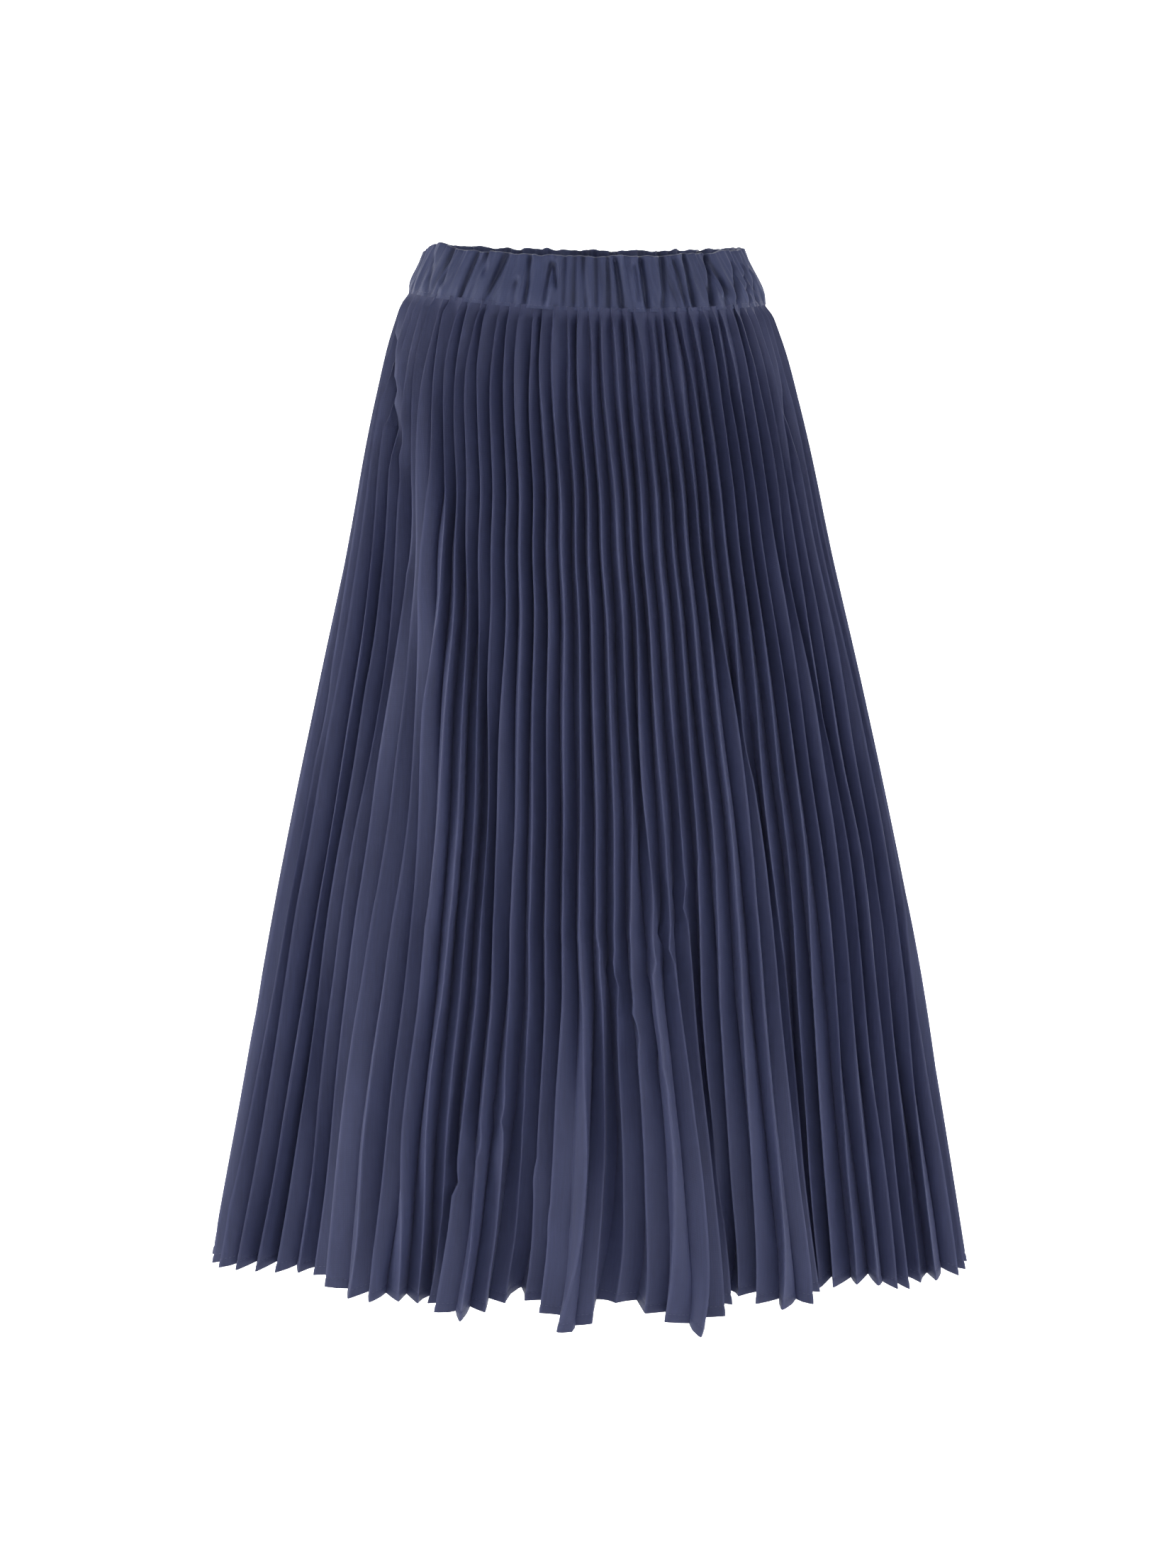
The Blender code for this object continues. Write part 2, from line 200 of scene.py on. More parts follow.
# Waistband: valleys between its gathers, at the front. Millimetres to the right of the middle at the top
# and at the seam, depth in mm, width in degrees, and the stretch of the band's height that each covers
VALLEY_COLUMNS = ("top_x", "seam_x", "depth", "width", "from", "to")
FRONT_VALLEYS = (
    (-117, -126, 2.5, 1.7, 0.10, 1.10),
    (-105, -115, 2.2, 1.8, -0.20, 0.80),
    (-85, -101, 4.8, 1.1, -0.20, 1.20),
    (-76, -84, 2.1, 1.1, -0.20, 0.50),
    (-62, -82, 3.6, 1.2, -0.20, 1.20),
    (-51, -58, 2.8, 1.0, 0.35, 1.20),
    (-44, -49, 3.6, 1.0, -0.10, 1.20),
    (-27, -34, 3.9, 0.8, 0.00, 1.00),
    (-26, -24, 3.6, 0.8, 0.00, 0.65),
    (-18, -19, 2.5, 1.0, -0.20, 1.20),
    (-11, -12, 2.2, 1.1, -0.20, 1.20),
    (-3, -2, 3.9, 1.1, -0.20, 1.20),
    (5, 6, 4.1, 1.1, -0.20, 1.20),
    (15, 16, 3.1, 0.9, -0.20, 1.20),
    (21, 27, 4.9, 1.1, -0.10, 1.30),
    (34, 40, 2.8, 0.8, 0.00, 0.90),
    (40, 46, 4.9, 1.1, -0.10, 1.30),
    (56, 59, 4.8, 1.2, -0.20, 1.20),
    (65, 77, 3.9, 1.1, -0.10, 1.20),
    (73, 83, 5.3, 1.1, -0.10, 1.20),
    (91, 97, 5.6, 1.1, -0.20, 1.20),
    (90, 116, 3.4, 1.7, -0.10, 0.80),
    (97, 109, 3.9, 1.1, 0.40, 1.20),
    (109, 117, 4.5, 1.2, 0.10, 1.20),
    (116, 126, 3.9, 1.2, 0.10, 1.20),
    (120, 133, 3.9, 1.8, 0.20, 1.00),
)
BACK_STRETCH = 0.96  # the back's valleys are the front's, turned round and a little closer
BACK_SHIFT = 4.0
VALLEY_FADE = 0.20  # of the band's height, over which a valley ends
FINE_GATHERS = 0.0010
FINE_GATHERS_TURN = 1.7
FINE_GATHERS_DOWN = 0.9
RING_CLOSES = 6.0  # degrees over which what is drawn by chance dies out, where the ring's ends meet
GATHER_SLANT = 7.0  # degrees of turn that fine gathers lean over the band's height, at its sides
BAND_CREST = 0.0012  # how far the crests stand out from the casing's own face
TOP_EDGE_BUMPS = 0.0005
TOP_EDGE_BUMPS_TURN = 3.5
TOP_EDGE_BUMPS_DOWN = 1.0
TOP_EDGE_DIPS = 0.16  # how much of a gather's depth shows as a dip of the folded edge
BEHIND_DIPS = 0.70  # and as a ridge of the casing's inside
SEAM_ROLL = 0.0020  # how far the casing curls in at the seam, and over what height
SEAM_ROLL_REACH = 0.0090
SEAM_FLATTENS = 0.65  # what the seam takes from a gather's depth
SEAM_FLATTENS_REACH = 0.0050
BAND_HEIGHT = 0.045
BAND_STITCH_DOWN = 0.94
LEFT_CORNER_TURN = 25.0  # the folded edge's raised corner at the left
LEFT_CORNER_WIDTH = 7.0
LEFT_CORNER_RISE = 0.0045
SIDE_DROP = 0.0060  # how much lower the folded edge runs at the left side itself
SIDE_DROP_WIDTH = 13.0
HIGHLIGHT_ABOVE = 0.0014  # metres that a gather stands out where the painted highlight on its crest is palest
PAINTED_SHADE_BELOW = 0.0036  # and how deep it lies where the painted shade in its valley is darkest
BAND_COLUMNS = 1440
BAND_OUTER_ROWS = 30
BAND_INNER_ROWS = 12
BAND_FOLD_ROWS = 7

# Stitches, in metres
STITCH_LENGTH = 0.0026
STITCH_STEP = 0.0037
STITCH_THICK = 0.00045
STITCH_SUNK = 0.0001
STITCH_SIDES = 6
STITCH_RINGS = np.array([-0.5, -0.42, -0.15, 0.15, 0.42, 0.5])  # of its length
STITCH_GIRTH = np.array([0.12, 0.7, 1.0, 1.0, 0.7, 0.12])  # of its thickness, at each ring

SHARP_FROM = 65.0  # degrees between two faces from which their edge isn't shaded smooth

# Seeds of what is drawn by chance
BAND_SEED = 5
FRONT_SEED = 11
BACK_SEED = 23

# Flat cut of one half: a sector between two arcs, so that pleats widen to the hem
WIDTH_AT_SEAM = 2 * PLEATS_EACH_HALF * PANEL_AT_SEAM
WIDTH_AT_HEM = 2 * PLEATS_EACH_HALF * PANEL_AT_HEM
SECTOR = (WIDTH_AT_HEM - WIDTH_AT_SEAM) / LENGTH
INNER_ARC = WIDTH_AT_SEAM / SECTOR

# Studio, in metres: a round floor and its wall
STUDIO_RADIUS = 6.0
STUDIO_BEND = 1.5
STUDIO_BEND_STEPS = 12
STUDIO_HEIGHT = 4.5
STUDIO_FLOOR = -1.45
STUDIO_SIDES = 96
FLOOR_RINGS = (0.001, 1.0, 2.5)  # the first is all but a point, so that the floor has no hole
PAPER_GLOW = 0.9
FRONT_GLOW = 0.22
GLOW_FROM = -0.8  # along Y, where the paper in front of the skirt starts to brighten, and where it is full
GLOW_FULL = 0.8
AIR_GLOW = 0.08

# Square soft lights: place, aim, side in metres and watts. The two at the sides light one panel of each
# pleat and leave its neighbour dark.
SOFTBOXES = {
    "key": ((3.5, -1.6, 0.6), (0.0, 0.0, -0.4), 1.6, 27.0),
    "fill": ((-3.65, -0.9, 0.3), (0.0, 0.0, -0.5), 1.4, 50.0),
    "front": ((0.3, -3.9, 0.9), (0.0, 0.0, -0.4), 1.4, 19.0),
    "paper_light": ((0.0, 2.5, 2.8), (0.0, 4.5, -1.0), 2.5, 200.0),
}

# Camera, from the photograph's perspective
PHOTO_HEIGHT = 2212
FOCAL_PIXELS = 5310
SENSOR = 36.0
CAMERA_PLACE = (0.0, -3.0, 0.0523)
CAMERA_PITCH = 8.60


# Numbers to form


def smooth_step(share):
    """Rises from 0 to 1 with no corner at either end."""
    share = np.clip(share, 0.0, 1.0)
    return share * share * (3.0 - 2.0 * share)


def bell(distance):
    """The bell curve exp(-x squared)."""
    return np.exp(-(distance**2))


def bell_weights(places, wave):
    """How much each knot, half a wave apart, counts at each place: bell curves scaled to unit length."""
    knots = np.arange(places.min() - wave, places.max() + 2 * wave, wave / 2)
    weights = bell((np.asarray(places)[:, None] - knots) / (wave / 2))
    return weights / np.linalg.norm(weights, axis=1, keepdims=True)


def wander(draw, places, wave, count):
    """Slow random changes of unit size: count columns of normal draws on knots, smoothed by bell curves."""
    weights = bell_weights(places, wave)
    return weights @ draw.normal(size=(weights.shape[1], count))


def rumple(draw, downs, turns, wave_down, wave_turn):
    """Slow random changes of unit size over a sheet: normal draws on a net of knots, smoothed both ways."""
    upright = bell_weights(downs, wave_down)
    across = bell_weights(turns, wave_turn)
    return upright @ draw.normal(size=(upright.shape[1], across.shape[1])) @ across.T


def around(heights, turn):
    """A height given at the left, front, right and back, carried round as a mean, a tilt and a saddle."""
    left, front, right, back = heights
    angle = np.radians(turn)
    mean = (left + front + right + back) / 4
    tilt = (left - right) / 2 * np.cos(angle) + (front - back) / 2 * np.sin(angle)
    saddle = (left + right - front - back) / 4 * np.cos(2 * angle)
    return mean + tilt + saddle


def section(table, downs):
    """Half-widths and depths at each place down: cubics through a table's rows, sloped like its rows."""
    columns = dict(zip(SECTION_COLUMNS, np.array(table).T))
    places = columns["down"]
    low = np.clip(np.searchsorted(places, downs) - 1, 0, len(places) - 2)
    span = places[low + 1] - places[low]
    share = (downs - places[low]) / span
    sizes = {}
    for name in SECTION_COLUMNS[1:]:
        values = columns[name]
        slopes = np.gradient(values, places)
        rise = values[low + 1] - values[low]
        leaving = slopes[low] * span - rise
        arriving = slopes[low + 1] * span - rise
        curve = share * (1 - share) * ((1 - share) * leaving - share * arriving)
        sizes[name] = values[low] + rise * share + curve
    return sizes


def ellipse(sizes, turn):
    """An ellipse in plan, -w cos(turn), -d sin(turn), whose half-widths and depths differ by side."""
    angle = np.radians(turn)
    wide = np.where(np.cos(angle) > 0, sizes["left"], sizes["right"])
    deep = np.where(np.sin(angle) > 0, sizes["front"], sizes["back"])
    return np.stack([-wide * np.cos(angle), -deep * np.sin(angle)], axis=-1)


def directions(lines):
    """Unit vectors along lines in plan, (rows, steps, 2), and out of them to the right-hand side."""
    along = np.gradient(lines, axis=1)
    along /= np.linalg.norm(along, axis=2, keepdims=True)
    return along, np.stack([along[..., 1], -along[..., 0]], axis=-1)


def running_length(lines):
    """Length along each line from its start to each of its points."""
    steps = np.linalg.norm(np.diff(lines, axis=1), axis=2)
    return np.concatenate([np.zeros((len(lines), 1)), np.cumsum(steps, axis=1)], axis=1)


def pick(values, at):
    """Values read along each row at fractional columns, by straight lines between columns."""
    low = np.clip(at.astype(int), 0, values.shape[1] - 2)
    share = at - low
    rows = np.arange(len(values))[:, None]
    if values.ndim == 3:
        share = share[..., None]
    return values[rows, low] * (1 - share) + values[rows, low + 1] * share


def fold_sum(folds, turn, down, name):
    """What the large folds add up to: bell curves round the turn, grown by a smooth step down the skirt."""
    total = np.zeros(np.broadcast(turn, down).shape)
    for fold in folds:
        row = dict(zip(FOLD_COLUMNS, fold))
        middle = (
            row["seam"] * (1 - down) * (1 - 2 * down)
            + row["midway"] * 4 * down * (1 - down)
            + row["hem"] * down * (2 * down - 1)
        )
        grown = smooth_step((down - row["start"]) / (row["full"] - row["start"]))
        total += row[name] * grown * bell((turn - middle) / row["width"])
    return total


def crease_sum(creases, turn, down, line_length):
    """What slanting creases add up to, out of the cloth: a bell curve across each, a longer one along."""
    total = np.zeros(np.broadcast(turn, down).shape)
    metres_a_degree = line_length[:, -1:] / 180.0
    for crease in creases:
        row = dict(zip(CREASE_COLUMNS, crease))
        tilt = np.radians(row["tilt"])
        sideways = (turn - row["turn"]) * metres_a_degree
        below = (down - row["down"]) * LENGTH
        across = sideways * np.cos(tilt) - below * np.sin(tilt)
        lengthways = sideways * np.sin(tilt) + below * np.cos(tilt)
        total += row["out"] * bell(across / row["width"]) * bell(lengthways / row["length"])
    return total


# Meshes


def grid_quads(spots):
    """Four-sided faces of a grid of point numbers, towards whoever sees rows run down, columns right."""
    corners = (spots[:-1, :-1], spots[1:, :-1], spots[1:, 1:], spots[:-1, 1:])
    return np.stack(corners, axis=-1).reshape(-1, 4)


def mesh_piece(name, points, quads, material, flat=None, marks=None):
    """A smooth mesh from points and faces, with a cloth map in metres and named values at its points."""
    mesh = bpy.data.meshes.new(name)
    mesh.from_pydata(points.tolist(), [], quads.tolist())
    if flat is not None:
        layer = mesh.uv_layers.new(name="cloth")
        layer.data.foreach_set("uv", flat[quads.ravel()].ravel())
    for mark, values in (marks or {}).items():
        mesh.attributes.new(mark, "FLOAT", "POINT").data.foreach_set("value", values.ravel())
    mesh.shade_smooth()
    mesh.set_sharp_from_angle(angle=np.radians(SHARP_FROM))
    mesh.materials.append(material)
    piece = bpy.data.objects.new(name, mesh)
    bpy.context.scene.collection.objects.link(piece)
    return piece


def surface_normals(points, closed=False):
    """Unit normals of a grid of points: the cross product of its steps down and its steps to the right."""
    if closed:
        points = np.concatenate([points[:, -1:], points, points[:, :1]], axis=1)
    normals = np.cross(np.gradient(points, axis=0), np.gradient(points, axis=1))
    if closed:
        normals = normals[:, 1:-1]
    return normals / np.linalg.norm(normals, axis=2, keepdims=True)


def two_faced(name, middle, thickness, material, flat, marks):
    """A thin wall: a grid moved half its thickness to both sides along its normals, closed at its rim."""
    normals = surface_normals(middle)
    half = np.broadcast_to(thickness, middle.shape[:2])[..., None] / 2
    outer = middle + normals * half
    inner = middle - normals * half
    count = middle.shape[0] * middle.shape[1]
    spots = np.arange(count).reshape(middle.shape[:2])
    behind = spots + count
    rims = (
        np.stack([behind[0], spots[0]]),
        np.stack([spots[-1], behind[-1]]),
        np.stack([behind[:, 0], spots[:, 0]], axis=1),
        np.stack([spots[:, -1], behind[:, -1]], axis=1),
    )
    quads = [grid_quads(spots), grid_quads(behind)[:, ::-1]]
    quads += [grid_quads(rim) for rim in rims]
    points = np.concatenate([outer.reshape(-1, 3), inner.reshape(-1, 3)])
    doubled = {mark: np.concatenate([values.ravel()] * 2) for mark, values in marks.items()}
    flat = np.concatenate([flat.reshape(-1, 2)] * 2)
    return mesh_piece(name, points, np.concatenate(quads), material, flat, doubled), outer


# The pleated halves


def crease_lines(folds, creases, first_turn, seed, downs, draw):
    """Where the creases of one half lie at each row, as (rows, creases) arrays.

    The large folds, slanting creases and slow ripples push an ellipse out and sideways. Creases are spaced
    along it almost evenly, by the same draws as the solids', and each slides sideways a little as it goes
    down. Outer ones are pressed over, so that a pleat has a steep and a slanting panel. A pleat is as deep
    as its panels' width allows, by Pythagoras, and shallower at the seam, where it is stitched down.
    """
    down = downs[:, None]
    turn = np.linspace(first_turn, first_turn + 180.0, LINE_STEPS + 1)
    to_side = np.minimum(turn - first_turn, first_turn + 180.0 - turn)
    fade = smooth_step(to_side / SIDE_SEAM_FADE)

    plain = ellipse(section(SECTIONS, down), turn)
    along, outward = directions(plain)
    out = fold_sum(folds, turn, down, "out") + fade * crease_sum(creases, turn, down, running_length(plain))
    ripple = RIPPLE * fade * smooth_step(down / RIPPLE_FULL)
    out += ripple * rumple(draw, downs, turn, RIPPLE_DOWN, RIPPLE_TURN)
    below = down * LENGTH
    out -= PULLED_IN * bell(below / PULLED_IN_REACH)
    out += PUFFED_OUT * bell((below - PUFFED_OUT_AT) / PUFFED_OUT_REACH)
    line = plain + out[..., None] * outward + fold_sum(folds, turn, down, "lean")[..., None] * along
    along, outward = directions(line)
    straight = 1.0 if first_turn == 0.0 else -1.0
    outward[:, 0] = (-straight, 0.0)
    outward[:, -1] = (straight, 0.0)

    length = running_length(line)
    heading = np.unwrap(np.arctan2(along[..., 1], along[..., 0]), axis=1)
    bend = np.abs(np.gradient(heading, axis=1)) / np.gradient(length, axis=1)
    opened = 1.0 + fold_sum(folds, turn, down, "open")
    parts = np.diff(length, axis=1) * 2 / (opened[:, 1:] + opened[:, :-1])
    cloth = np.concatenate([np.zeros((len(downs), 1)), np.cumsum(parts, axis=1)], axis=1)

    uneven = 1.0 + UNEVEN_PANELS * np.random.default_rng(seed).uniform(-1.0, 1.0, 2 * PLEATS_EACH_HALF)
    shares = np.concatenate([[0.0], np.cumsum(uneven)]) / uneven.sum()
    number = np.arange(len(shares))
    outside = number % 2 == 1
    off_side = smooth_step(np.minimum(number, number[::-1]) / SIDE_SEAM_CREASES)
    slide = CREASE_SLIDE * wander(draw, downs, CREASE_SLIDE_DOWN, len(shares))
    slide += OUTER_SLIDE * outside * wander(draw, downs, CREASE_SLIDE_DOWN, len(shares))
    slide *= smooth_step(down / CREASE_SLIDE_FULL)
    slide += PUCKER_SLIDE * bell(below / PUCKER_REACH) * wander(draw, downs, PUCKER_DOWN, len(shares))
    slide = np.clip(slide, -MOST_SLIDE, MOST_SLIDE) * off_side / len(uneven)

    columns = np.arange(LINE_STEPS + 1)
    even_at = np.array([np.interp(shares * row[-1], row, columns) for row in cloth])
    spacing = np.gradient(pick(length, even_at), axis=1)
    panel = PANEL_AT_SEAM + (PANEL_AT_HEM - PANEL_AT_SEAM) * down
    lay = np.minimum(PLEAT_LAY, LAY_WHEN_OPEN * (panel / spacing) ** 2)
    slid = shares + slide
    slid_at = np.array([np.interp(share * row[-1], row, columns) for share, row in zip(slid, cloth)])
    reached = pick(length, slid_at) - outside * lay * spacing
    at = np.array([np.interp(place, row, columns) for place, row in zip(reached, length)])
    depth = np.sqrt(np.maximum(panel**2 - spacing**2 * (1.0 + lay**2), (SHALLOWEST_PLEAT * panel) ** 2))
    depth = np.minimum(depth, ROOM_IN_BEND / pick(bend, at))
    depth *= PRESSED_AT_SEAM + (1.0 - PRESSED_AT_SEAM) * smooth_step(down / FREE_BELOW)
    depth *= 1.0 + DEPTH_CHANGE * off_side * np.tanh(wander(draw, downs, CREASE_SLIDE_DOWN, len(shares)))
    pinched = np.tanh(wander(draw, downs, PUCKER_DOWN, len(shares)))
    depth *= 1.0 + off_side * (PUCKER_DEPTH * bell(below / PUCKER_REACH) * pinched)
    depth *= 1.0 - STITCHED_FLAT * bell(np.maximum(below, 0.0) / STITCHED_FLAT_REACH)

    facing = pick(outward, at)
    facing /= np.linalg.norm(facing, axis=2, keepdims=True)
    return {
        "middle": pick(line, at),
        "outward": facing,
        "depth": depth * np.where(outside, 0.5, -0.5),
        "turn": pick(np.broadcast_to(turn, length.shape), at),
        "shares": shares,
        "outside": outside,
    }


def across_panels(values, places):
    """Crease values spread to the grid columns of every panel, by straight lines, and the last crease."""
    left, right = values[:, :-1, None], values[:, 1:, None]
    if values.ndim == 3:
        places = places[:, None]
    spread = left + (right - left) * places
    spread = spread.reshape(len(values), -1, *values.shape[2:])
    return np.concatenate([spread, values[:, -1:]], axis=1)


def skirt_half(name, folds, creases, first_turn, seed, material):
    """One pleated half.

    Between two creases the cloth follows asin(s cos(pi f)) / asin(s), a zigzag with rounded corners, and
    bows by 4 f (1 - f) out of its panel, by an amount that changes slowly down the skirt. What folds and
    creases add to the hem's height grows with the cube of the way down.
    """
    draw = np.random.default_rng(seed + FINER_SEED)
    even = np.linspace(TOP_ROWS[-1], LENGTH - HEM_ROWS[0], EVEN_ROWS + 1)[1:-1]
    downs = np.concatenate([TOP_ROWS, even, LENGTH - HEM_ROWS]) / LENGTH
    down = downs[:, None]
    lines = crease_lines(folds, creases, first_turn, seed, downs, draw)
    places = np.array(PANEL_PLACES)
    panels = 2 * PLEATS_EACH_HALF

    middle = across_panels(lines["middle"], places)
    outward = across_panels(lines["outward"], places)
    turn = across_panels(lines["turn"], places)
    size = across_panels(np.abs(lines["depth"]), places)
    swing = np.arcsin(CREASE_SHARPNESS * np.cos(np.pi * places)) / np.arcsin(CREASE_SHARPNESS)
    sign = np.where(lines["outside"][:-1], 1.0, -1.0)
    zigzag = np.append((sign[:, None] * swing).ravel(), np.where(lines["outside"][-1], 1.0, -1.0))
    plan = middle + (zigzag * size)[..., None] * outward

    crease_points = lines["middle"] + lines["depth"][..., None] * lines["outward"]
    chord = np.diff(crease_points, axis=1)
    normal = np.stack([chord[..., 1], -chord[..., 0]], axis=-1)
    normal /= np.linalg.norm(normal, axis=2, keepdims=True)
    steep = np.abs(np.diff(lines["depth"], axis=1)) / np.linalg.norm(chord, axis=2)
    amount = BOW * np.clip(steep, 0.0, 1.0) ** 3 + BOW_CHANGE * wander(draw, downs, BOW_DOWN, panels)
    amount *= smooth_step(down / BOW_FULL)
    bowed = (amount[..., None] * 4 * places * (1 - places))[..., None] * normal[:, :, None]
    plan[:, :-1] += bowed.reshape(len(downs), -1, 2)

    plan[:, [0, -1], 1] += SEAM_GAP / 2 * (-1.0 if first_turn == 0.0 else 1.0)
    top = around(WAIST_SEAM, turn) - SEAM_GAP / 2
    bottom = around(HEM, turn)
    drop = fold_sum(folds, turn, down, "drop") + zigzag * OUTER_CREASE_DROP / 2
    drop += HEM_WANDER * across_panels(wander(draw, lines["shares"], HEM_WANDER_WIDTH, 1).T, places)
    height = top + (bottom - top) * down - drop * down**3

    above_hem = (1.0 - down) * LENGTH
    turned_up = 1.0 - smooth_step((above_hem - HEM_STITCH_UP) / HEM_GROOVE_WIDTH)
    points = np.concatenate([plan, height[..., None]], axis=2)
    groove = HEM_GROOVE * bell((above_hem - HEM_STITCH_UP) / HEM_GROOVE_WIDTH)
    points -= surface_normals(points) * groove[..., None]

    angle = (across_panels(lines["shares"][None, :], places) - 0.5) * SECTOR
    radius = INNER_ARC + down * LENGTH
    flat = np.stack([radius * np.sin(angle), -radius * np.cos(angle)], axis=-1)
    # The crest mark places a painted highlight along the outer creases, and painted shade in the hollows
    # where a material asks for it
    marks = {
        "crest": zigzag * smooth_step(down / HIGHLIGHT_FULL_DOWN),
        "hem": np.broadcast_to(turned_up, height.shape),
    }
    piece, outer = two_faced(name, points, CLOTH + HEM_LAYER * turned_up, material, flat, marks)
    stitched = int(np.argmin(np.abs(above_hem[:, 0] - HEM_STITCH_UP)))
    return piece, outer[stitched], surface_normals(outer)[stitched]


# The waistband


def band_relief(turn, down, draw):
    """How far the gathered cloth lies below its crests: the valleys as listed, and fine gathers by chance."""
    sizes = section(BAND_SECTIONS, np.clip(down, 0.0, 1.0))
    relief = np.zeros(np.broadcast(turn, down).shape)
    for valley in FRONT_VALLEYS:
        row = dict(zip(VALLEY_COLUMNS, valley))
        for back in (False, True):
            across = (row["top_x"] + (row["seam_x"] - row["top_x"]) * down) / 1000
            if back:
                across = across * BACK_STRETCH + BACK_SHIFT / 1000
            wide = np.where(across < 0, sizes["left"], sizes["right"])
            place = np.degrees(np.arccos(np.clip(-across / wide, -1.0, 1.0)))
            place = 360.0 - place if back else place
            started = smooth_step((down - row["from"]) / VALLEY_FADE)
            covered = started * smooth_step((row["to"] - down) / VALLEY_FADE)
            relief += row["depth"] / 1000 * covered * bell((turn - place) / row["width"])
    leaning = turn + GATHER_SLANT * np.cos(np.radians(turn)) * down
    fine = rumple(draw, down[:, 0], np.arange(0.0, 361.0), FINE_GATHERS_DOWN, FINE_GATHERS_TURN)
    at = np.mod(leaning, 360.0)
    meet = smooth_step(np.minimum(at, 360.0 - at) / RING_CLOSES)
    return relief + FINE_GATHERS * meet * pick(fine, at)


def waistband(name, seed, material):
    """The casing: one closed ring of cloth round its elastic.

    A profile runs up the outside, over the folded edge as a half circle, down the inside and back under.
    The outside lies a relief below its crests, the inside follows it, and the folded edge rises and falls
    a little with the gathers.
    """
    draw = np.random.default_rng(seed)
    turn = np.arange(BAND_COLUMNS) * 360.0 / BAND_COLUMNS
    fold = CASING / 2
    outside_downs = 1.0 - np.linspace(0.0, 1.0, BAND_OUTER_ROWS)
    inside_downs = np.linspace(0.0, 1.0, BAND_INNER_ROWS)
    arc = np.linspace(0.0, np.pi, BAND_FOLD_ROWS + 2)[1:-1]
    downs = np.concatenate([outside_downs, np.zeros(BAND_FOLD_ROWS), inside_downs])
    outer = np.full(BAND_OUTER_ROWS, fold)
    inner = np.full(BAND_INNER_ROWS, -fold)
    depth = np.concatenate([outer, fold * np.cos(arc), inner])[:, None]
    rise = np.concatenate([np.zeros_like(outer), fold * np.sin(arc), np.zeros_like(inner)])[:, None]
    down = downs[:, None]

    relief = band_relief(turn, down, draw)
    to_seam = (1.0 - down) * BAND_HEIGHT
    relief *= 1.0 - SEAM_FLATTENS * bell(to_seam / SEAM_FLATTENS_REACH)
    to_start = np.minimum(turn, 360.0 - turn)
    bumps = TOP_EDGE_BUMPS * rumple(draw, np.zeros(1), turn, TOP_EDGE_BUMPS_DOWN, TOP_EDGE_BUMPS_TURN)
    bumps *= smooth_step(to_start / RING_CLOSES)
    corner = LEFT_CORNER_RISE * bell((turn - LEFT_CORNER_TURN) / LEFT_CORNER_WIDTH)
    corner -= SIDE_DROP * bell(to_start / SIDE_DROP_WIDTH)
    top = around(WAIST_TOP, turn) - fold + (bumps + corner - relief[BAND_OUTER_ROWS] * TOP_EDGE_DIPS)
    bottom = around(WAIST_SEAM, turn) + SEAM_GAP / 2
    line = ellipse(section(BAND_SECTIONS, down), turn)
    ring = np.concatenate([line[:, -1:], line, line[:, :1]], axis=1)
    outward = directions(ring)[1][:, 1:-1]
    outside = smooth_step((depth / fold + 1.0) / 2)
    seam_roll = SEAM_ROLL * bell(to_seam / SEAM_ROLL_REACH)
    offset = depth + outside * (BAND_CREST - relief - seam_roll) - (1 - outside) * relief * BEHIND_DIPS
    height = top + (bottom - top) * down + rise
    points = np.concatenate([line + offset[..., None] * outward, height[..., None]], axis=2)

    spots = np.arange(points.shape[0] * points.shape[1]).reshape(points.shape[:2])
    ringed = np.concatenate([spots, spots[:, :1]], axis=1)
    looped = np.concatenate([ringed, ringed[:1]], axis=0)
    quads = grid_quads(looped)[:, ::-1]
    gathered = WIDTH_AT_SEAM * 2 * turn / 360.0  # threads drawn closer here than on the pleats
    flat = np.stack(np.broadcast_arrays(gathered, height), axis=-1).reshape(-1, 2)
    # The crest mark: painted highlight on the gathers' crests, painted shade in their valleys
    crest = np.clip(-relief / np.where(relief < 0, HIGHLIGHT_ABOVE, PAINTED_SHADE_BELOW), -1.0, 1.0)
    marks = {"crest": crest, "hem": np.zeros_like(height)}
    piece = mesh_piece(name, points.reshape(-1, 3), quads, material, flat, marks)
    row = int(np.argmin(np.abs(outside_downs - BAND_STITCH_DOWN)))
    normals = -surface_normals(points, closed=True)
    around_once = np.append(np.arange(BAND_COLUMNS), 0)
    return piece, points[row, around_once], normals[row, around_once]


# Stitches


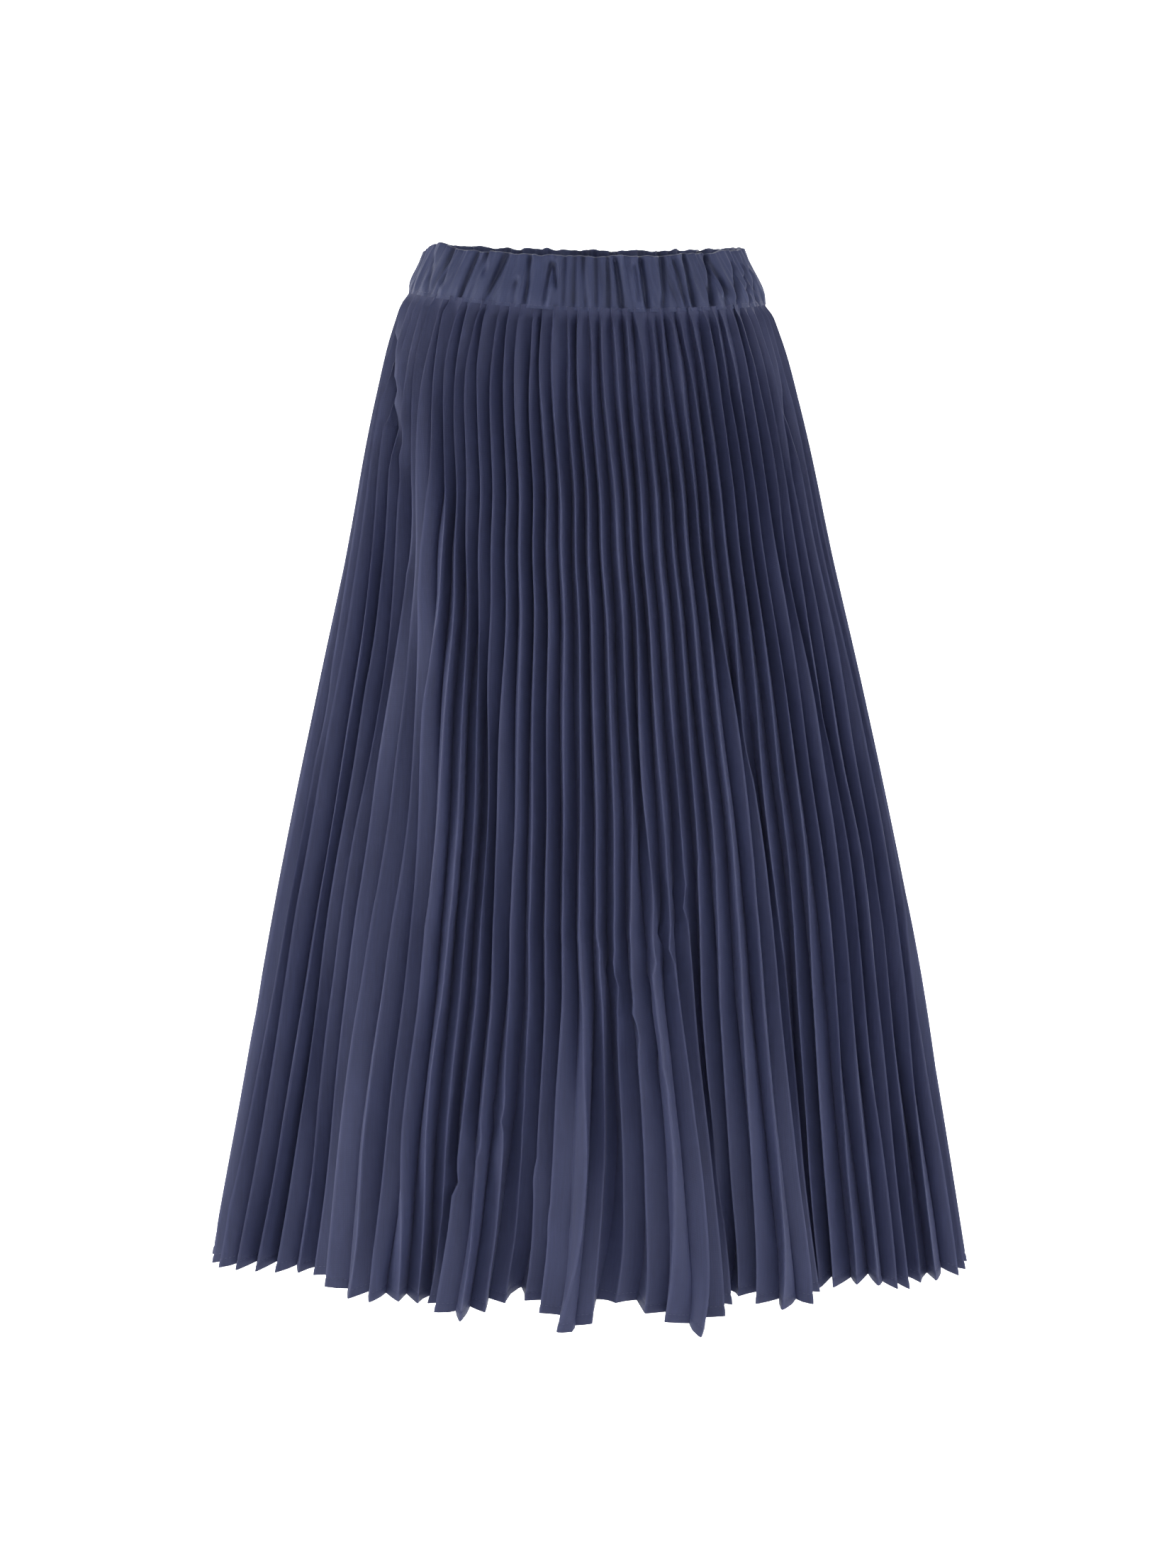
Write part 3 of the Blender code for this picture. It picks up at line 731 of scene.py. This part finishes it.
def stitch_row(name, path, normals, material):
    """A row of stitches along a path on the cloth: spindles, thick in the middle, sunk in a little."""
    steps = np.linalg.norm(np.diff(path, axis=0), axis=1)
    length = np.concatenate([[0.0], np.cumsum(steps)])
    places = np.arange(STITCH_STEP, length[-1] - STITCH_STEP, STITCH_STEP)

    def along(values, shift):
        """The path's values at each stitch, a little further on."""
        return np.stack([np.interp(places + shift, length, values[:, axis]) for axis in range(3)], axis=-1)

    middle = along(path, 0.0) - STITCH_SUNK * along(normals, 0.0)
    forward = along(path, STITCH_LENGTH / 2) - along(path, -STITCH_LENGTH / 2)
    forward /= np.linalg.norm(forward, axis=1, keepdims=True)
    up = along(normals, 0.0)
    up -= np.sum(up * forward, axis=1, keepdims=True) * forward
    up /= np.linalg.norm(up, axis=1, keepdims=True)
    side = np.cross(forward, up)

    girth = (STITCH_GIRTH * STITCH_THICK / 2)[:, None]
    angle = np.arange(STITCH_SIDES) * 2 * np.pi / STITCH_SIDES
    rings = (STITCH_RINGS[:, None] * STITCH_LENGTH, girth * np.cos(angle), girth * np.sin(angle))
    ring = np.stack(np.broadcast_arrays(*rings), axis=-1).reshape(-1, 3)
    axes = np.stack([forward, up, side], axis=1)
    points = middle[:, None] + np.einsum("pa,sac->spc", ring, axes)

    numbers = np.arange(len(ring)).reshape(len(STITCH_RINGS), STITCH_SIDES)
    quads = grid_quads(np.concatenate([numbers, numbers[:, :1]], axis=1))
    every = (np.arange(len(places))[:, None, None] * len(ring) + quads).reshape(-1, 4)
    return mesh_piece(name, points.reshape(-1, 3), every, material)


# Materials


def linear(code):
    """An sRGB hex colour as linear red, green, blue and a full alpha."""
    values = np.array([int(code[place:place + 2], 16) for place in (1, 3, 5)]) / 255
    bright = ((values + 0.055) / 1.055) ** 2.4
    return (*np.where(values <= 0.04045, values / 12.92, bright), 1.0)


def add_node(material, kind, links=None, **settings):
    """A node with its settings, and links from other nodes' outputs into its sockets."""
    node = material.node_tree.nodes.new(kind)
    for name, value in settings.items():
        if name.startswith("in_"):
            socket = name[3:]
            node.inputs[int(socket) if socket.isdigit() else socket.replace("_", " ")].default_value = value
        else:
            setattr(node, name, value)
    for socket, source in (links or {}).items():
        material.node_tree.links.new(source, node.inputs[socket])
    return node


def new_material(name, **sockets):
    """A node material and its shader, with numbers and colours set on the shader's own sockets."""
    material = bpy.data.materials.new(name)
    material.use_nodes = True
    shader = material.node_tree.nodes["Principled BSDF"]
    for socket, value in sockets.items():
        shader.inputs[socket.replace("_", " ")].default_value = value
    return material, shader


def wave_scale(pitch):
    """The Wave texture's scale for bands this far apart: it draws one band in pi / 10 units."""
    return np.pi / 10 / pitch


THREAD_PITCH = 0.0009  # the real threads are 0.25 mm apart, drawn coarser so that they show close up
SLUB_LENGTH = 0.030
SLUB_WIDTH = 0.0016
CLOUD_SIZE = 0.09  # patches where the dye took a little less
TWIST = 0.0006
PAPER_TOOTH = 0.025
PAINTED_HIGHLIGHT_FROM = 0.75  # of the way from a pleat's middle to its outer crease, where the painted highlight starts
# share of the crest colour mixed in as a painted highlight at the outer creases
PAINTED_HIGHLIGHT_SHARE = 0.22
PAINTED_SHADE_UP_TO = -0.35  # the same towards the inner crease, where the painted shade in the valley ends
HEM_DARKNESS = 0.12


def pressed_polyester(name, deep, mid, crest, roughness, hollow_shade):
    """Woven polyester georgette, heat-set into pleats: a matt, slightly dry cloth whose threads break up
    the highlight, with a soft bloom at grazing angles. Its outer creases get a painted highlight in the
    crest colour, and its hollows painted shade, down to the share that the last argument gives."""
    material, shader = new_material(
        name, IOR=1.5, Specular_IOR_Level=0.30, Sheen_Weight=0.06, Sheen_Roughness=0.45,
        Sheen_Tint=linear("#aab0cc"),
    )
    here = add_node(material, "ShaderNodeUVMap", uv_map="cloth").outputs["UV"]
    warp, weft = (
        add_node(
            material, "ShaderNodeTexWave", {"Vector": here}, bands_direction=direction,
            in_Scale=wave_scale(THREAD_PITCH), in_Distortion=0.6, in_Detail=1.0, in_Detail_Scale=0.4,
        )
        for direction in "XY"
    )
    stretched = add_node(
        material, "ShaderNodeMapping", {"Vector": here},
        in_Scale=(1.0 / SLUB_WIDTH, 1.0 / SLUB_LENGTH, 1.0),
    )
    slubs = add_node(
        material, "ShaderNodeTexNoise", {"Vector": stretched.outputs[0]}, in_Scale=1.0, in_Detail=3.0,
        in_Roughness=0.6,
    )
    clouds = add_node(
        material, "ShaderNodeTexNoise", {"Vector": here}, in_Scale=1.0 / CLOUD_SIZE, in_Detail=3.0,
        in_Roughness=0.55,
    )
    threads = add_node(
        material, "ShaderNodeMath", {0: warp.outputs["Fac"], 1: weft.outputs["Fac"]}, operation="MAXIMUM",
    )
    relief = add_node(
        material, "ShaderNodeMath", {0: threads.outputs[0], 1: slubs.outputs["Fac"]}, operation="ADD",
    )
    crest_mark = add_node(material, "ShaderNodeAttribute", attribute_name="crest").outputs["Fac"]
    highlight_ramp = add_node(
        material, "ShaderNodeMapRange", {"Value": crest_mark}, interpolation_type="SMOOTHSTEP",
        in_1=PAINTED_HIGHLIGHT_FROM, in_2=1.0,
    )
    # Painted shade: the colour darkened in the hollows, down to the given share at the inner crease
    hollow_shade_factor = add_node(
        material, "ShaderNodeMapRange", {"Value": crest_mark}, interpolation_type="SMOOTHSTEP",
        in_1=-1.0, in_2=PAINTED_SHADE_UP_TO, in_3=hollow_shade, in_4=1.0,
    )
    hem_mark = add_node(material, "ShaderNodeAttribute", attribute_name="hem").outputs["Fac"]

    uneven = add_node(
        material, "ShaderNodeMix", {"Factor": clouds.outputs["Fac"]}, data_type="RGBA", in_6=linear(deep),
        in_7=linear(mid),
    )
    thready = add_node(
        material, "ShaderNodeMapRange", {"Value": slubs.outputs["Fac"]}, in_1=0.25, in_2=0.75,
        in_3=0.88, in_4=1.12,
    )
    dyed = add_node(
        material, "ShaderNodeMix", {6: uneven.outputs[2], 7: thready.outputs[0]}, data_type="RGBA",
        blend_type="MULTIPLY", in_0=1.0,
    )
    # Painted highlight: the crest colour mixed in towards the outer creases
    highlight_amount = add_node(
        material, "ShaderNodeMath", {0: highlight_ramp.outputs[0]}, operation="MULTIPLY", in_1=PAINTED_HIGHLIGHT_SHARE,
    )
    highlighted = add_node(
        material, "ShaderNodeMix", {"Factor": highlight_amount.outputs[0], 6: dyed.outputs[2]}, data_type="RGBA",
        in_7=linear(crest),
    )
    doubled = add_node(
        material, "ShaderNodeMath", {0: hem_mark}, operation="MULTIPLY", in_1=HEM_DARKNESS,
    )
    hemmed = add_node(
        material, "ShaderNodeMix", {"Factor": doubled.outputs[0], 6: highlighted.outputs[2]}, data_type="RGBA",
        in_7=linear(deep),
    )
    rough = add_node(
        material, "ShaderNodeMapRange", {"Value": slubs.outputs["Fac"]}, in_1=0.2, in_2=0.8,
        in_3=roughness - 0.05, in_4=roughness + 0.07,
    )
    bump = add_node(
        material, "ShaderNodeBump", {"Height": relief.outputs[0]}, in_Strength=0.22, in_Distance=0.0003,
    )
    shaded = add_node(
        material, "ShaderNodeMix", {6: hemmed.outputs[2], 7: hollow_shade_factor.outputs[0]}, data_type="RGBA",
        blend_type="MULTIPLY", in_0=1.0,
    )
    links = material.node_tree.links
    links.new(shaded.outputs[2], shader.inputs["Base Color"])
    links.new(rough.outputs[0], shader.inputs["Roughness"])
    links.new(bump.outputs[0], shader.inputs["Normal"])
    return material


def spun_thread(name, colour):
    """Spun polyester sewing thread: a soft twisted strand, a shade lighter than the cloth, dully glossy."""
    material, shader = new_material(name, Roughness=0.5)
    here = add_node(material, "ShaderNodeTexCoord").outputs["Object"]
    twist = add_node(material, "ShaderNodeTexNoise", {"Vector": here}, in_Scale=1.0 / TWIST, in_Detail=2.0)
    shade = add_node(
        material, "ShaderNodeMapRange", {"Value": twist.outputs["Fac"]}, in_3=0.8, in_4=1.2,
    )
    tone = add_node(
        material, "ShaderNodeMix", {7: shade.outputs[0]}, data_type="RGBA", blend_type="MULTIPLY", in_0=1.0,
        in_6=linear(colour),
    )
    bump = add_node(
        material, "ShaderNodeBump", {"Height": twist.outputs["Fac"]}, in_Strength=0.4, in_Distance=0.0001,
    )
    links = material.node_tree.links
    links.new(tone.outputs[2], shader.inputs["Base Color"])
    links.new(bump.outputs[0], shader.inputs["Normal"])
    return material


def studio_paper(name):
    """Matt white background paper, lit so that it reads as plain white, and less so in front."""
    material, shader = new_material(
        name, Base_Color=linear("#f6f6f6"), Roughness=0.9, Emission_Color=linear("#ffffff"),
    )
    here = add_node(material, "ShaderNodeTexCoord").outputs["Object"]
    tooth = add_node(
        material, "ShaderNodeTexNoise", {"Vector": here}, in_Scale=1.0 / PAPER_TOOTH, in_Detail=2.0,
    )
    bump = add_node(
        material, "ShaderNodeBump", {"Height": tooth.outputs["Fac"]}, in_Strength=0.02, in_Distance=0.001,
    )
    behind = add_node(material, "ShaderNodeSeparateXYZ", {"Vector": here})
    glow = add_node(
        material, "ShaderNodeMapRange", {"Value": behind.outputs["Y"]}, in_1=GLOW_FROM, in_2=GLOW_FULL,
        in_3=FRONT_GLOW, in_4=PAPER_GLOW,
    )
    links = material.node_tree.links
    links.new(bump.outputs[0], shader.inputs["Normal"])
    links.new(glow.outputs[0], shader.inputs["Emission Strength"])
    return material


# Studio


def backdrop():
    """A round floor that sweeps up into a wall on all sides, as circles of growing radius."""
    bend = np.linspace(0.0, np.pi / 2, STUDIO_BEND_STEPS + 1)
    bend_radii = STUDIO_RADIUS - STUDIO_BEND * (1 - np.sin(bend))
    radii = np.concatenate([FLOOR_RINGS, bend_radii, [STUDIO_RADIUS]])[:, None]
    bend_heights = STUDIO_BEND * (1 - np.cos(bend))
    heights = np.concatenate([np.zeros(len(FLOOR_RINGS)), bend_heights, [STUDIO_HEIGHT]])[:, None]
    angle = np.arange(STUDIO_SIDES) * 2 * np.pi / STUDIO_SIDES
    rings = (radii * np.cos(angle), radii * np.sin(angle), heights + STUDIO_FLOOR)
    points = np.stack(np.broadcast_arrays(*rings), axis=-1)
    spots = np.arange(points.shape[0] * points.shape[1]).reshape(points.shape[:2])
    ringed = np.concatenate([spots, spots[:, :1]], axis=1)
    quads = grid_quads(ringed)
    sweep = mesh_piece("backdrop", points.reshape(-1, 3), quads, studio_paper("studio_paper"))


def softbox(name, place, target, size, power):
    """A square soft light, aimed at a point."""
    light = bpy.data.lights.new(name, "AREA")
    light.size = size
    light.energy = power
    lamp = bpy.data.objects.new(name, light)
    lamp.location = place
    lamp.rotation_euler = (Vector(target) - Vector(place)).to_track_quat("-Z", "Y").to_euler()
    bpy.context.scene.collection.objects.link(lamp)


def studio():
    """Backdrop, lights, world and camera."""
    backdrop()
    for name, setting in SOFTBOXES.items():
        softbox(name, *setting)
    world = bpy.data.worlds.new("studio_air")
    world.use_nodes = True
    air = world.node_tree.nodes["Background"]
    air.inputs["Color"].default_value = linear("#ffffff")
    air.inputs["Strength"].default_value = AIR_GLOW
    bpy.context.scene.world = world
    bpy.context.scene.view_settings.view_transform = "Standard"

    lens = bpy.data.cameras.new("camera")
    lens.sensor_width = SENSOR
    lens.lens = FOCAL_PIXELS * SENSOR / PHOTO_HEIGHT
    camera = bpy.data.objects.new("camera", lens)
    camera.location = CAMERA_PLACE
    camera.rotation_euler = (np.radians(90.0 - CAMERA_PITCH), 0.0, 0.0)
    bpy.context.scene.collection.objects.link(camera)
    bpy.context.scene.camera = camera


# The whole skirt


def main():
    """Dress the solids: the casing and both halves, then their stitches, then the studio."""
    # The crest colours are painted highlights on the creases; the last numbers say how dark the painted shade
    # in the hollows gets, 1.0 for none
    skirt_cloth = pressed_polyester(
        "pressed_polyester", deep="#2f3350", mid="#393e5e", crest="#5a5f82", roughness=0.62, hollow_shade=1.0,
    )
    casing_cloth = pressed_polyester(
        "gathered_polyester", deep="#2f3552", mid="#394062", crest="#50587d", roughness=0.58, hollow_shade=0.62,
    )
    thread = spun_thread("spun_thread", "#3c4160")

    band, seam_path, seam_normals = waistband("gathered_casing", BAND_SEED, casing_cloth)
    seam_stitches = stitch_row("waist_stitches", seam_path, seam_normals, thread)
    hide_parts("waistband")
    pieces = [band, seam_stitches]

    halves = (
        ("front_width", "skirt_front", FRONT_FOLDS, FRONT_CREASES, 0.0, FRONT_SEED),
        ("back_width", "skirt_back", BACK_FOLDS, BACK_CREASES, 180.0, BACK_SEED),
    )
    for name, node, folds, creases, first_turn, seed in halves:
        half, hem_path, hem_normals = skirt_half(name, folds, creases, first_turn, seed, skirt_cloth)
        stitches = stitch_row(name + "_hem_stitches", hem_path, hem_normals, thread)
        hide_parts(node)
        pieces += [half, stitches]
    for piece in pieces:
        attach(piece, "root")
    studio()


main()
